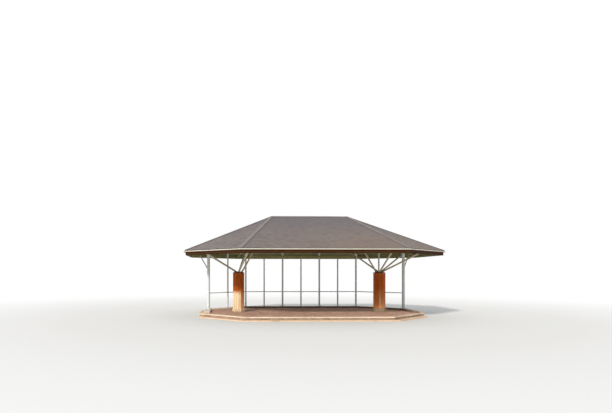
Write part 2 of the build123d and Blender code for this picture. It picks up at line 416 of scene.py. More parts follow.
step_stone = Finish("step stone", roughness=0.8)
stone_body = step_stone.ramp(
    step_stone.noise(3, 7), (0.3, (226, 204, 178)), (0.55, (246, 231, 208)), (0.75, (252, 243, 228))
)
stone_body = step_stone.vary(stone_body, 0.9, 1.08)
stone_bedding = step_stone.patches((2.2, 4, (1, 1, 26)), 0.45, 0.75)
stone_body = step_stone.blend(stone_bedding, stone_body, (222, 192, 160))
stone_low = step_stone.along("Z", 0.1, 0.07, 0.0, 0.65)
stone_body = step_stone.blend(stone_low, stone_body, (222, 182, 146))
stone_tread = step_stone.along("Z", 0.199, 0.209, 0.0, 0.6)
stone_body = step_stone.blend(stone_tread, stone_body, (206, 168, 138))
stone_specks = step_stone.patches((130, 2), 0.58, 0.7, 0.0, 0.5)
stone_body = step_stone.blend(stone_specks, stone_body, (176, 148, 122))
stone_stains = step_stone.patches((1.3, 8), 0.56, 0.72, 0.0, 0.55)
step_stone.paint(step_stone.blend(stone_stains, stone_body, (150, 126, 104)))
step_stone.gloss(20, 3, 0.68, 0.92)
step_stone.relief((180, 4), 0.0025, 0.5)
step_stone.relief((14, 4), 0.006, 0.35)

for level in ("lower", "upper"):
    node = f"{level}_step_stones"
    slabs = []
    for strip in solids_of(node):
        slabs += in_lengths(strip, step_slab_length, mortar_joint)
    for slab in slabs:
        ease(slab, 0.012, segments=3)
    add_piece(node.replace("stones", "slabs"), gathered(slabs), step_stone, [node])


# Paved floor.
# Clay pavers, 200 by 100 mm with a small chamfer, laid in herringbone on a sand bed and cut to the
# edge stones. Their firing varies from pink to brown.

paver = 0.1
paver_joint = 0.004
paver_chamfer = 0.004
sand_depth = 0.007


def upright_sides(solid):
    """Middle and direction of each upright face of a solid."""
    return [
        (face.calc_center_median(), face.normal.copy())
        for face in solid.faces if abs(face.normal.z) < 0.01
    ]


def add_block(shape, place, size, layer=None):
    """Adds a block of that size in its place, and draws a tone for it if there is a layer."""
    made = bmesh.ops.create_cube(shape, size=1, matrix=place @ Matrix.Diagonal((*size, 1)))
    if layer is not None:
        tone = chance.random()
        for vert in made["verts"]:
            for face in vert.link_faces:
                face[layer] = tone


paving_low, paving_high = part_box("floor_paving")
paving_solid = solids_of("floor_paving")[0]
pavers = bmesh.new()
paver_tone = pavers.faces.layers.float.new("tone")
for row in range(math.floor(paving_low.y / paver), math.ceil(paving_high.y / paver)):
    for column in range(math.floor(paving_low.x / paver) - 1, math.ceil(paving_high.x / paver)):
        place = (column - row) % 4
        if place == 0:
            wide, deep = 2, 1
        elif place == 3:
            wide, deep = 1, 2
        else:
            continue
        middle = Vector((column + wide / 2, row + deep / 2, 0)) * paver
        middle.z = paving_high.z - sand_depth
        size = (wide * paver - paver_joint, deep * paver - paver_joint, 2 * sand_depth)
        turn = Matrix.Rotation(math.radians(chance.uniform(-0.4, 0.4)), 4, "Z")
        add_block(pavers, Matrix.Translation(middle) @ turn, size, paver_tone)
top_edges = [
    edge for edge in pavers.edges if min(vert.co.z for vert in edge.verts) > paving_high.z - 0.001
]
ease(pavers, paver_chamfer, edges=top_edges)
for point, outward in upright_sides(paving_solid):
    trim(pavers, point, outward)

paving_clay = Finish("paving clay", roughness=0.85)
clay_body = paving_clay.ramp(
    paving_clay.tone(),
    (0.0, (162, 120, 102)), (0.3, (190, 146, 124)), (0.6, (202, 158, 136)), (0.85, (182, 140, 120)),
    (1.0, (210, 172, 150)),
)
clay_body = paving_clay.shade(clay_body, paving_clay.patches((12, 5), 0.3, 0.7, 0.9, 1.08))
# Painted shade: the pavers are faded darker toward the back, where the roof shades the floor.
clay_body = paving_clay.shade(clay_body, paving_clay.along("Y", -0.5, 3.2, 1.0, 0.72))
clay_dust = paving_clay.patches((0.9, 6), 0.48, 0.72, 0.0, 0.45)
clay_body = paving_clay.blend(clay_dust, clay_body, (212, 182, 160))
paving_clay.paint(paving_clay.blend(paving_clay.spots(160, 0.22), clay_body, (112, 84, 72)))
paving_clay.relief((240, 3), 0.0015, 0.5)
add_piece("floor_pavers", pavers, paving_clay, ["floor_paving"])

bed = paving_solid
for face in bed.faces:
    if face.normal.z > 0.9:
        bed_top = face.calc_center_median()
trim(bed, bed_top - Vector((0, 0, sand_depth)), Vector((0, 0, 1)))
jointing_sand = Finish("jointing sand", roughness=0.95)
jointing_sand.paint(
    jointing_sand.ramp(jointing_sand.noise(420, 3), (0.35, (120, 100, 82)), (0.7, (168, 148, 124)))
)
jointing_sand.relief((700, 2), 0.001, 0.6)
add_piece("paving_bed", bed, jointing_sand)


# Kerb under the screen.
# Pale cast stone kerb, 105 mm high, in lengths of about 0.84 m with rounded top edges. It carries the
# posts and the mullions. Its faces are painted dark as painted shade and its top pale as painted light.
# The faces at the left end are painted pale as painted sunlight, and the top at the right end dark as
# painted shade.

kerb_length = 0.84

kerb_stone = Finish("kerb stone", roughness=0.82)
# Painted shade: the kerb's body colour is dark, standing for the shade on its faces.
kerb_body = kerb_stone.ramp(kerb_stone.noise(4, 6), (0.35, (118, 96, 82)), (0.65, (142, 118, 100)))
kerb_body = kerb_stone.vary(kerb_body, 0.92, 1.08)
kerb_foot = kerb_stone.times(kerb_stone.along("Z", 0.31, 0.21), kerb_stone.patches((7, 6), 0.25, 0.7))
kerb_body = kerb_stone.blend(kerb_foot, kerb_body, (112, 92, 78))
# Painted sunlight: the faces of the left end are painted pale.
kerb_painted_sunlight = kerb_stone.along("X", -3.6, -4.1)
kerb_body = kerb_stone.blend(kerb_painted_sunlight, kerb_body, (240, 218, 196))
# Painted light on the top, which fades to painted shade at the right end.
kerb_top_painted_light = kerb_stone.times(
    kerb_stone.along("Z", 0.304, 0.312), kerb_stone.along("X", 3.4, 4.4, 1.0, 0.15)
)
kerb_body = kerb_stone.blend(kerb_top_painted_light, kerb_body, (228, 216, 200))
kerb_stone.paint(kerb_stone.blend(kerb_stone.spots(24, 0.12), kerb_body, (160, 146, 120)))
kerb_stone.relief((200, 4), 0.002, 0.5)
kerb_stones = []
for strip in solids_of("kerb"):
    kerb_stones += in_lengths(strip, kerb_length, mortar_joint)
for stone in kerb_stones:
    ease(stone, 0.012, segments=3)
add_piece("kerb_stones", gathered(kerb_stones), kerb_stone, ["kerb"])


# Steel posts and their foot plates.
# Round tubes, 190 mm across at the sides and 120 mm along the back, under a pale sage-grey paint that
# has chalked and rusts at the foot. Each stands on a bolted plate, and a collar hides the weld.

side_post_radius = 0.095
back_post_radius = 0.06
collar_wall = 0.006
collar_height = 0.04
plate_bolt_circle = 0.148
up = Vector((0, 0, 1))

pale_paint = Finish("pale steel paint", roughness=0.42)
paint_body = pale_paint.ramp(
    pale_paint.noise(3, 6, (1, 1, 0.35)), (0.3, (208, 217, 218)), (0.7, (230, 237, 238))
)
paint_streaks = pale_paint.patches((38, 5, (1, 1, 0.03)), 0.55, 0.8, 0.0, 0.35)
paint_body = pale_paint.blend(paint_streaks, paint_body, (150, 158, 146))
foot_rust = pale_paint.times(pale_paint.along("Z", 0.86, 0.33), pale_paint.patches((16, 9), 0.56, 0.66))
pale_paint.paint(pale_paint.blend(foot_rust, paint_body, (138, 84, 52)))
pale_paint.gloss(26, 4, 0.34, 0.58)
pale_paint.relief((90, 3), 0.0006, 0.4)


def finish_node(node, finish):
    """Gives a node of the frame its finish in place of the plain one."""
    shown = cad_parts[node]
    shown.data.materials.clear()
    shown.data.materials.append(finish.material)


def across(direction):
    """Turn that points the Z axis of a shape along a direction."""
    return Vector(direction).to_track_quat("Z", "Y").to_matrix().to_4x4()


def turned(shape, middle, direction, radius, height, segments=32, top=None):
    """Adds a round or many-sided piece, centred on a point and standing along a direction."""
    bmesh.ops.create_cone(
        shape, cap_ends=True, segments=segments, radius1=radius,
        radius2=radius if top is None else top, depth=height,
        matrix=Matrix.Translation(middle) @ across(direction),
    )


def washer_and_nut(shape, spot, washer_radius, washer_height, nut_radius, nut_height):
    """Adds a round washer that lies on a point and a six-sided nut on top of it."""
    turned(shape, spot + up * (washer_height / 2), up, washer_radius, washer_height, segments=16)
    turned(shape, spot + up * (washer_height + nut_height / 2), up, nut_radius, nut_height, segments=6)


post_names = ["post_side_left", *(f"post_back_{number}" for number in (1, 2, 3, 4)), "post_side_right"]
back_feet = []
collars = []
bolts = bmesh.new()
for name in post_names:
    low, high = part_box(name)
    foot = Vector(((low.x + high.x) / 2, (low.y + high.y) / 2, low.z))
    if name.startswith("post_side"):
        radius = side_post_radius
        finish_node(name, pale_paint)
    else:
        radius = back_post_radius
        back_feet.append(foot)
        height = high.z - low.z
        tube = bmesh.new()
        turned(tube, foot + up * (height / 2), up, radius, height, segments=48)
        thick_post = solids_of(name)[0]
        for face in thick_post.faces:
            if face.normal.z > 0.1:
                trim(tube, face.calc_center_median(), face.normal)
        add_piece(f"slim_{name}", tube, pale_paint, [name], smooth=40)
    collar = bmesh.new()
    turned(collar, foot + up * (collar_height / 2), up, radius + collar_wall, collar_height, segments=48)
    ease(collar, 0.006, segments=3)
    collars.append(collar)
    for turn in range(4):
        angle = math.radians(45 + 90 * turn)
        spot = foot + Vector((math.cos(angle), math.sin(angle), 0)) * plate_bolt_circle
        washer_and_nut(bolts, spot, 0.017, 0.003, 0.0135, 0.011)
        turned(bolts, spot + up * 0.018, up, 0.007, 0.012, segments=12, top=0.006)
add_piece("post_collars", gathered(collars), pale_paint, smooth=40)

foot_plates = solids_of("post_foot_plates")
for plate in foot_plates:
    uprights = [e for e in plate.edges if abs((e.verts[0].co - e.verts[1].co).normalized().z) > 0.9]
    ease(plate, 0.018, segments=4, edges=uprights)
    ease(plate, 0.002, steepest=40)
add_piece("foot_plates", gathered(foot_plates), pale_paint, ["post_foot_plates"])

worn_zinc = Finish("worn zinc", roughness=0.5, metallic=0.8)
zinc_body = worn_zinc.ramp(worn_zinc.noise(60, 5), (0.35, (120, 122, 122)), (0.65, (168, 170, 168)))
zinc_rust = worn_zinc.patches((35, 6), 0.52, 0.64, 0.0, 0.8)
worn_zinc.paint(worn_zinc.blend(zinc_rust, zinc_body, (122, 78, 50)))
worn_zinc.gloss(80, 3, 0.4, 0.7)
add_piece("foot_bolts", bolts, worn_zinc, smooth=35)


# Mullions and rails of the screen.
# Square and rectangular steel tubes with rounded corners, in the same paint as the posts. A small
# bolted plate holds the foot of each mullion on the kerb.

mullion_plate = (0.2, 0.1, 0.008)
mullion_bolt_offset = 0.075


def seat_on_back_posts(bar):
    """Lengthens a bar's hollowed ends until they fit the thin posts of the back."""
    along = run_of(bar)[0]
    for vert in bar.verts:
        for foot in back_feet:
            away = vert.co - foot
            away.z = 0
            if away.length < side_post_radius + 0.002:
                reach = away.dot(along)
                aside = (away - along * reach).length
                seat = math.sqrt(max(0.0, back_post_radius ** 2 - aside ** 2))
                vert.co += along * (math.copysign(seat, reach) - reach)


for node in ("mullions", "rail_left", "rail_back", "rail_right"):
    tubes = solids_of(node)
    for tube in tubes:
        if node != "mullions":
            seat_on_back_posts(tube)
        ease(tube, 0.004, segments=2, steepest=60)
    add_piece(f"screen_{node}", gathered(tubes), pale_paint, [node])

mullion_feet = []
mullion_bolts = bmesh.new()
for mullion in solids_of("mullions"):
    corners = [vert.co.copy() for vert in mullion.verts]
    base = min(corner.z for corner in corners)
    middle = sum(corners, Vector()) / len(corners)
    middle.z = base
    wide = max(
        (edge for edge in mullion.edges if abs(edge.verts[0].co.z - edge.verts[1].co.z) < 1e-4),
        key=lambda edge: edge.calc_length(),
    )
    sideways = (wide.verts[1].co - wide.verts[0].co).normalized()
    forward = up.cross(sideways)
    turn = Matrix((sideways, forward, up)).transposed().to_4x4()
    foot = bmesh.new()
    add_block(foot, Matrix.Translation(middle + up * (mullion_plate[2] / 2)) @ turn, mullion_plate)
    ease(foot, 0.002)
    mullion_feet.append(foot)
    for sign in (-1, 1):
        spot = middle + sideways * (mullion_bolt_offset * sign) + up * mullion_plate[2]
        washer_and_nut(mullion_bolts, spot, 0.013, 0.002, 0.0105, 0.008)
    mullion.free()
add_piece("mullion_feet", gathered(mullion_feet), pale_paint)
add_piece("mullion_bolts", mullion_bolts, worn_zinc, smooth=35)


# Pier plinths.
# Cream stone blocks round a core, 200 mm high, with a chamfered top edge that sheds water from
# the boards above.

plinth_block_depth = 0.12
plinth_block_length = 0.38
plinth_recess = 0.005

plinth_stone = Finish("plinth stone", roughness=0.85)
plinth_body = plinth_stone.ramp(plinth_stone.noise(6, 6), (0.3, (204, 176, 142)), (0.7, (230, 206, 172)))
plinth_body = plinth_stone.vary(plinth_body, 0.42, 1.02)
plinth_wet = plinth_stone.times(
    plinth_stone.along("Z", 0.31, 0.21), plinth_stone.patches((11, 6), 0.3, 0.65)
)
plinth_stone.paint(plinth_stone.blend(plinth_wet, plinth_body, (124, 100, 84)))
plinth_stone.relief((190, 4), 0.003, 0.5)
# Painted light and shade: the left plinth's blocks get high tones and the right plinth's low tones, so
# the right one is painted darker as painted shade.
for side, painted_light_tone in (("left", 0.85), ("right", 0.05)):
    node = f"pier_plinth_{side}"
    plinth = solids_of(node)[0]
    top_rim = max(vert.co.z for vert in plinth.verts)
    rim = [e for e in plinth.edges if min(vert.co.z for vert in e.verts) > top_rim - 1e-4]
    ease(plinth, 0.022, edges=rim)
    blocks = []
    for strip in edge_strips(plinth, plinth_block_depth):
        blocks += in_lengths(strip, plinth_block_length, mortar_joint)
    for block in blocks:
        ease(block, 0.004, steepest=60)
    blocks.append(core_of(plinth, plinth_recess))
    tones = [painted_light_tone + chance.uniform(0.0, 0.15) for block in blocks]
    add_piece(f"plinth_blocks_{side}", gathered(blocks, tones), plinth_stone, [node])


# Board-clad piers.
# Upright varnished boards, 138 mm wide and 22 mm thick, screwed round an octagonal core, two to a face,
# with open joints and a shadow gap under the cap. Sun and rain have bleached the varnish near the foot,
# and the lower boards of the left pier are also painted pale as painted sunlight, while those of the
# right pier and of the left pier's right face are kept darker as painted shade.

board_thickness = 0.022
board_gap = 0.005
shadow_gap = 0.012
screw_head = (0.0065, 0.0065, 0.0022)
screw_heights = (0.04, 0.35, 0.66, 0.96)
screw_offsets = (0.24, 0.76)

varnished_board = Finish("varnished boards", roughness=0.5)
varnished_board.shader.inputs["Specular IOR Level"].default_value = 0.15
board_grain = varnished_board.noise(9, 9, (5, 5, 0.32))
board_body = varnished_board.ramp(
    board_grain, (0.3, (152, 64, 6)), (0.48, (190, 90, 12)), (0.62, (206, 108, 24)), (0.8, (168, 76, 10))
)
board_body = varnished_board.vary(board_body, 0.9, 0.85)
board_lines = varnished_board.patches((60, 4, (3, 3, 0.06)), 0.58, 0.75, 0.0, 0.5)
board_body = varnished_board.blend(board_lines, board_body, (104, 48, 14))
# Bleach and painted sunlight: higher tones start lower and reach a paler cream, so the left pier's lower
# boards look sunlit.
bleach_and_sunlight_start = varnished_board.fade(varnished_board.tone(), 0.0, 0.9, 1.8, 1.53)
bleach_and_sunlight_full = varnished_board.fade(varnished_board.tone(), 0.0, 0.9, 0.2, 1.31)
bleach_and_painted_sunlight = varnished_board.times(
    varnished_board.along("Z", bleach_and_sunlight_start, bleach_and_sunlight_full),
    varnished_board.patches((3, 6, (2, 2, 0.5)), 0.3, 0.65, 0.6, 0.95),
)
bleach_and_sunlight_colour = varnished_board.blend(varnished_board.tone(), (222, 128, 40), (249, 231, 190))
varnished_board.paint(varnished_board.blend(bleach_and_painted_sunlight, board_body, bleach_and_sunlight_colour))
varnished_board.gloss(14, 5, 0.38, 0.7)
varnished_board.relief(board_grain, 0.002, 0.5)
varnished_board.relief((120, 3, (3, 3, 0.05)), 0.001, 0.4)

dark_steel = Finish("dark steel", roughness=0.5, metallic=0.4)
steel_body = dark_steel.ramp(dark_steel.noise(18, 6), (0.35, (54, 48, 42)), (0.65, (84, 76, 66)))
steel_rust = dark_steel.patches((30, 8), 0.58, 0.68, 0.0, 0.8)
dark_steel.paint(dark_steel.blend(steel_rust, steel_body, (108, 64, 38)))
dark_steel.relief((150, 3), 0.0008, 0.4)

# The two boards of each front face. A higher tone is more bleached and paler below, as painted sunlight
# on the left pier; the low tones of the right pier and of the left pier's right face are painted shade.
lit_and_shaded_front_tones = {
    "left": {(-1, -1): (0.9, 0.95), (0, -1): (0.8, 0.95), (1, -1): (0.35, 0.4)},
    "right": {(-1, -1): (0.1, 0.15), (0, -1): (0.3, 0.5), (1, -1): (0.2, 0.3)},
}
for side in ("left", "right"):
    node = f"pier_{side}"
    pier = solids_of(node)[0]
    low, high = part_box(node)
    faces = [face for face in pier.faces if abs(face.normal.z) < 0.01]
    core = pier.copy()
    boards = []
    tones = []
    screws = bmesh.new()
    for face, strip in zip(faces, edge_strips(pier, board_thickness)):
        outward = face.normal.copy()
        centre = face.calc_center_median()
        sideways = outward.cross(up)
        width = max((vert.co - centre).dot(sideways) for vert in face.verts)
        trim(core, centre - outward * board_thickness, outward)
        trim(strip, Vector((0, 0, high.z - shadow_gap)), up)
        facing = (round(outward.x), round(outward.y))
        shades = lit_and_shaded_front_tones[side].get(facing) or (chance.random(), chance.random())
        for sign, shade in zip((-1, 1), shades):
            board = strip.copy()
            trim(board, centre + sideways * (sign * board_gap / 2), sideways * -sign)
            ease(board, 0.004, segments=2)
            boards.append(board)
            tones.append(shade)
            for share in screw_heights:
                for offset in screw_offsets:
                    spot = centre + sideways * (sign * width * offset)
                    spot.z = low.z + (high.z - low.z) * share
                    bmesh.ops.create_uvsphere(
                        screws, u_segments=10, v_segments=6, radius=1,
                        matrix=Matrix.Translation(spot) @ across(outward)
                        @ Matrix.Diagonal((*screw_head, 1)),
                    )
    add_piece(f"pier_boards_{side}", gathered(boards, tones), varnished_board, [node])
    add_piece(f"pier_core_{side}", core, dark_steel)
    add_piece(f"pier_screws_{side}", screws, worn_zinc, smooth=60)


# Pier caps.
# An octagonal steel plate over the boards with a low round drum, which the struts are welded to. Eight
# bolts round the drum hold the plate down. The paint is dark and flaking.

cap_plate_height = 0.02
cap_bolt_circle = 0.31

for side in ("left", "right"):
    node = f"pier_cap_{side}"
    cap = solids_of(node)[0]
    ease(cap, 0.003, segments=2, steepest=50)
    add_piece(f"cap_plate_{side}", gathered([cap]), dark_steel, [node], smooth=30)
    low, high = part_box(node)
    middle = (low + high) / 2
    middle.z = low.z + cap_plate_height
    cap_bolts = bmesh.new()
    for turn in range(8):
        angle = math.radians(45 * turn + 22.5)
        spot = middle + Vector((math.cos(angle), math.sin(angle), 0)) * cap_bolt_circle
        washer_and_nut(cap_bolts, spot, 0.02, 0.003, 0.016, 0.013)
    add_piece(f"cap_bolts_{side}", cap_bolts, worn_zinc, smooth=35)


# Branching struts.
# Round steel tubes, 96 mm across on the piers and 64 mm at the side posts, under khaki paint. Two on
# each pier run up to the front and back slopes. A tapered sleeve stiffens each tube's ends.

pier_strut_radius = 0.048
side_strut_radius = 0.032
strut_foot_radius = 0.22
long_strut_inset = 0.565
long_strut_reach = 4.835
long_strut_clearance = 0.2
hidden_length = 0.3
sleeve_start = 0.07
sleeve_length = 0.09

khaki_paint = Finish("khaki strut paint", roughness=0.55)
khaki_body = khaki_paint.ramp(khaki_paint.noise(5, 6), (0.3, (176, 167, 142)), (0.7, (206, 199, 174)))
khaki_dirt = khaki_paint.patches((24, 6), 0.56, 0.76, 0.0, 0.5)
khaki_paint.paint(khaki_paint.blend(khaki_dirt, khaki_body, (112, 92, 66)))
khaki_paint.gloss(30, 4, 0.45, 0.7)
khaki_paint.relief((110, 3), 0.0008, 0.4)

finish_node("side_struts", khaki_paint)
sleeves = []


def add_sleeve(end, along, radius):
    """Tapered sleeve round a tube, a little way along from its end."""
    sleeve = bmesh.new()
    middle = end + along * sleeve_start
    turned(sleeve, middle, along, radius + 0.007, sleeve_length, top=radius + 0.002)
    ease(sleeve, 0.0015, steepest=50)
    sleeves.append(sleeve)


def add_end_sleeves(strut, radius):
    """Sleeves at both ends of a strut, clear of its slanting cuts."""
    along, low, high = run_of(strut)
    lines = [edge for edge in strut.edges if edge.calc_length() > 0.6 * (high - low)]
    axis = sum((v.co - along * v.co.dot(along) for e in lines for v in e.verts), Vector())
    axis /= 2 * len(lines)
    starts = [min(vert.co.dot(along) for vert in line.verts) for line in lines]
    ends = [max(vert.co.dot(along) for vert in line.verts) for line in lines]
    add_sleeve(axis + along * max(starts), along, radius)
    add_sleeve(axis + along * min(ends), -along, radius)


def long_strut(drum, slope):
    """Tube from the drum of a pier to the underside of the front or the back slope."""
    roof = solids_of(slope)[0]
    under = min(roof.faces, key=lambda face: face.normal.z * face.calc_area())
    centre = under.calc_center_median()
    down = under.normal.copy()
    head = drum - Vector((math.copysign(long_strut_inset, drum.x), 0, 0))
    head.y = math.copysign(long_strut_reach, centre.y)
    head.z = centre.z - (head - centre).xy.dot(down.xy) / down.z
    outward = (head - drum) * Vector((1, 1, 0))
    foot = drum + outward.normalized() * strut_foot_radius
    along = (head - foot).normalized()
    tube = bmesh.new()
    length = (head - foot).length + 2 * hidden_length
    turned(tube, (foot + head) / 2, along, pier_strut_radius, length)
    trim(tube, centre, -down)
    add_sleeve(foot + along * sleeve_start, along, pier_strut_radius)
    add_sleeve(head - along * long_strut_clearance, -along, pier_strut_radius)
    return tube


for side in ("left", "right"):
    low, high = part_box(f"pier_cap_{side}")
    drum = (low + high) / 2
    drum.z = high.z
    struts = [long_strut(drum, "roof_front"), long_strut(drum, "roof_back")]
    for strut in solids_of(f"pier_struts_{side}"):
        along = run_of(strut)[0]
        if abs(along.x) > abs(along.y):
            add_end_sleeves(strut, pier_strut_radius)
            struts.append(strut)
    add_piece(
        f"strut_tubes_{side}", gathered(struts), khaki_paint,
        [f"pier_struts_{side}"], smooth=40,
    )
for strut in solids_of("side_struts"):
    add_end_sleeves(strut, side_strut_radius)
add_piece("strut_sleeves", gathered(sleeves), khaki_paint, smooth=40)


# Roof frame.
# Deep hip rafters on edge, a ridge beam, a turned block at each end of it and the beams over the posts,
# all of planed timber with eased edges under olive paint.

olive_timber = Finish("olive painted timber", roughness=0.6)
olive_body = olive_timber.ramp(olive_timber.noise(4, 6), (0.3, (134, 130, 78)), (0.7, (158, 154, 98)))
timber_grain = olive_timber.noise(30, 6, (0.4, 0.4, 3))
timber_checks = olive_timber.fade(timber_grain, 0.6, 0.78, 0.0, 0.45)
olive_timber.paint(olive_timber.blend(timber_checks, olive_body, (92, 82, 50)))
olive_timber.relief(timber_grain, 0.0015, 0.4)
for node in ("hip_rafters", "ridge_beam", "post_beams"):
    timbers = solids_of(node)
    for timber in timbers:
        if node == "post_beams":
            seat_on_back_posts(timber)
        ease(timber, 0.006, segments=2, steepest=50)
    add_piece(f"planed_{node}", gathered(timbers), olive_timber, [node])
bosses = solids_of("ridge_bosses")
for boss in bosses:
    ease(boss, 0.01, segments=2, steepest=50)
add_piece("turned_bosses", gathered(bosses), olive_timber, ["ridge_bosses"], smooth=30)


# Roof boards and slates.
# Tongued boards, 120 mm wide, run level under each slope in olive paint. Over them natural slates,
# 250 mm wide, hang in level courses of 200 mm, each tail on the heads of the course below.

soffit_board_width = 0.12
soffit_board_thickness = 0.017
slate_width = 0.25
slate_gauge = 0.2
slate_cover = 0.08
slate_thickness = 0.007
slate_joint = 0.003
slate_lift = 0.0375
slope_thickness = 0.04

soffit_paint = Finish("olive soffit paint", roughness=0.65)
soffit_body = soffit_paint.ramp(soffit_paint.noise(2.5, 6), (0.3, (134, 134, 94)), (0.7, (156, 157, 113)))
soffit_body = soffit_paint.vary(soffit_body, 0.94, 1.05)
soffit_body = soffit_paint.shade(soffit_body, soffit_paint.along("Z", 3.86, 3.96, 0.45, 1.0))
soffit_stains = soffit_paint.patches((1.2, 7), 0.56, 0.74, 0.0, 0.4)
soffit_paint.paint(soffit_paint.blend(soffit_stains, soffit_body, (104, 92, 58)))
soffit_paint.relief((70, 4), 0.0008, 0.4)

roof_slate = Finish("roof slate", roughness=0.62)
slate_body = roof_slate.ramp(
    roof_slate.tone(),
    (0.0, (97, 89, 87)), (0.25, (107, 98, 95)), (0.5, (112, 103, 99)), (0.75, (118, 108, 102)),
    (1.0, (105, 98, 99)),
)
slate_body = roof_slate.shade(slate_body, roof_slate.patches((0.7, 6), 0.3, 0.7, 0.95, 1.05))
slate_cool = roof_slate.times(
    roof_slate.along("Z", 4.5, 5.7, 0.0, 0.85), roof_slate.along("X", -1.5, 2.0, 1.0, 0.8)
)
slate_body = roof_slate.blend(slate_cool, slate_body, (98, 91, 94))
slate_warm = roof_slate.times(roof_slate.along("X", -5.0, 2.0), roof_slate.along("Z", 5.3, 4.0))
slate_body = roof_slate.blend(
    roof_slate.times(slate_warm, roof_slate.patches((1.6, 5), 0.3, 0.6, 0.4, 0.85)),
    slate_body, (120, 103, 91),
)
slate_lichen = roof_slate.times(
    roof_slate.spots(9, 0.17), roof_slate.patches((2, 4), 0.5, 0.65, 0.0, 0.6)
)
roof_slate.paint(roof_slate.blend(slate_lichen, slate_body, (150, 146, 132)))
roof_slate.gloss(18, 4, 0.5, 0.78)
roof_slate.relief((45, 6), 0.002, 0.6)
roof_slate.relief((260, 3), 0.0008, 0.4)


def slope_frame(solid):
    """Upper face of a slope: matrix from along, up the slope and outwards, and its reach."""
    upper = max(solid.faces, key=lambda face: face.normal.z * face.calc_area())
    eave = min(upper.edges, key=lambda edge: round(sum(vert.co.z for vert in edge.verts), 4))
    outward = upper.normal.copy()
    along = (eave.verts[1].co - eave.verts[0].co).normalized()
    rise = outward.cross(along)
    if rise.z < 0:
        along.negate()
        rise.negate()
    place = Matrix((along, rise, outward)).transposed().to_4x4()
    place.translation = eave.verts[0].co
    inward = place.inverted()
    spots = [inward @ vert.co for vert in upper.verts]
    return place, min(s.x for s in spots), max(s.x for s in spots), max(s.y for s in spots)


slopes = [name for name in sorted(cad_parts) if name.startswith("roof_")]
for node in slopes:
    solid = solids_of(node)[0]
    place, left, right, top = slope_frame(solid)
    sides = upright_sides(solid)
    lower = -slope_thickness * place.col[2].z

    boards = bmesh.new()
    board_tone = boards.faces.layers.float.new("tone")
    for row in range(math.ceil((top + 0.1) / soffit_board_width)):
        base = row * soffit_board_width - 0.05
        size = Vector((right - left + 0.4, soffit_board_width, soffit_board_thickness))
        centre = Vector(((left + right) / 2, base + size.y / 2, lower + size.z / 2))
        add_block(boards, place @ Matrix.Translation(centre), size, board_tone)
    inverse = place.inverted()
    arrises = [
        edge for edge in boards.edges
        if all((inverse @ vert.co).z < lower + 0.001 for vert in edge.verts)
        and edge.calc_length() > 1
    ]
    ease(boards, 0.0035, edges=arrises)
    for point, outward in sides:
        trim(boards, point, outward)
    bmesh.ops.recalc_face_normals(boards, faces=boards.faces)
    add_piece(node.replace("roof_", "roof_boards_"), boards, soffit_paint)

    slates = bmesh.new()
    slate_tone = slates.faces.layers.float.new("tone")
    tilt = Matrix.Rotation(-math.atan(slate_lift), 4, "X")
    for row in range(math.ceil(top / slate_gauge)):
        tail = row * slate_gauge + 0.002
        length = slate_gauge + slate_cover
        offset = slate_width / 2 * (row % 2) + chance.uniform(-0.02, 0.02)
        start = math.floor((left - offset) / slate_width)
        for number in range(start, math.ceil((right - offset) / slate_width) + 1):
            x = offset + slate_width * (number + 0.5)
            slip = chance.uniform(-0.004, 0.004)
            hang = Matrix.Translation((x, tail + slip, -0.001 - slate_thickness))
            turn = Matrix.Rotation(math.radians(chance.uniform(-0.35, 0.35)), 4, "Z")
            middle = Matrix.Translation((0, length / 2, slate_thickness / 2))
            size = (slate_width - slate_joint, length, slate_thickness)
            add_block(slates, place @ hang @ tilt @ turn @ middle, size, slate_tone)
    for point, outward in sides:
        trim(slates, point, outward)
    bmesh.ops.recalc_face_normals(slates, faces=slates.faces)
    add_piece(node.replace("roof_", "slates_"), slates, roof_slate, [node])
    solid.free()


# Ridge and hip tiles.
# Angled tiles, 0.45 m long, bedded along the ridge and down each hip. Those on the hips are nearly
# as dark as the slates, and those on the ridge are a lighter blue-grey, bleached at its right end.

tile_length = 0.45
tile_joint = 0.006

ridge_tile = Finish("ridge tile", roughness=0.6)
tile_body = ridge_tile.ramp(
    ridge_tile.tone(),
    (0.0, (112, 107, 111)), (0.5, (121, 116, 120)), (0.85, (130, 125, 127)), (1.0, (150, 145, 142)),
)
tile_body = ridge_tile.shade(tile_body, ridge_tile.patches((8, 6), 0.3, 0.7, 0.9, 1.08))
tile_lichen = ridge_tile.times(
    ridge_tile.spots(14, 0.2), ridge_tile.patches((3, 4), 0.45, 0.65, 0.0, 0.6)
)
ridge_tile.paint(ridge_tile.blend(tile_lichen, tile_body, (168, 164, 144)))
ridge_tile.relief((120, 4), 0.0015, 0.5)
hip_tile = Finish("hip tile", roughness=0.6)
hip_body = hip_tile.ramp(
    hip_tile.tone(), (0.0, (114, 106, 103)), (0.5, (121, 112, 108)), (1.0, (128, 118, 114))
)
hip_tile.paint(hip_tile.shade(hip_body, hip_tile.patches((8, 6), 0.3, 0.7, 0.92, 1.06)))
hip_tile.relief((120, 4), 0.0015, 0.5)
for name, node, finish in (
    ("hip_tiles", "hip_caps", hip_tile), ("ridge_tiles", "ridge_cap", ridge_tile),
):
    tiles = []
    for cap in solids_of(node):
        tiles += in_lengths(cap, tile_length, tile_joint)
    tones = [chance.uniform(0.1, 0.8) for tile in tiles]
    if node == "ridge_cap":
        tones[-1] = 1.0
        tones[-2] = 0.9
    for tile in tiles:
        ease(tile, 0.004, segments=2)
    add_piece(name, gathered(tiles, tones), finish, [node])


# Fascia boards.
# Boards 38 mm thick, on edge behind the gutter, butted every few metres and mitred at the eight
# corners. They are stained brown outside, with the brown painted darker as painted shade under the
# gutter, darker along their wet lower edges, and olive inside.

fascia_board_length = 3.2
fascia_joint = 0.003

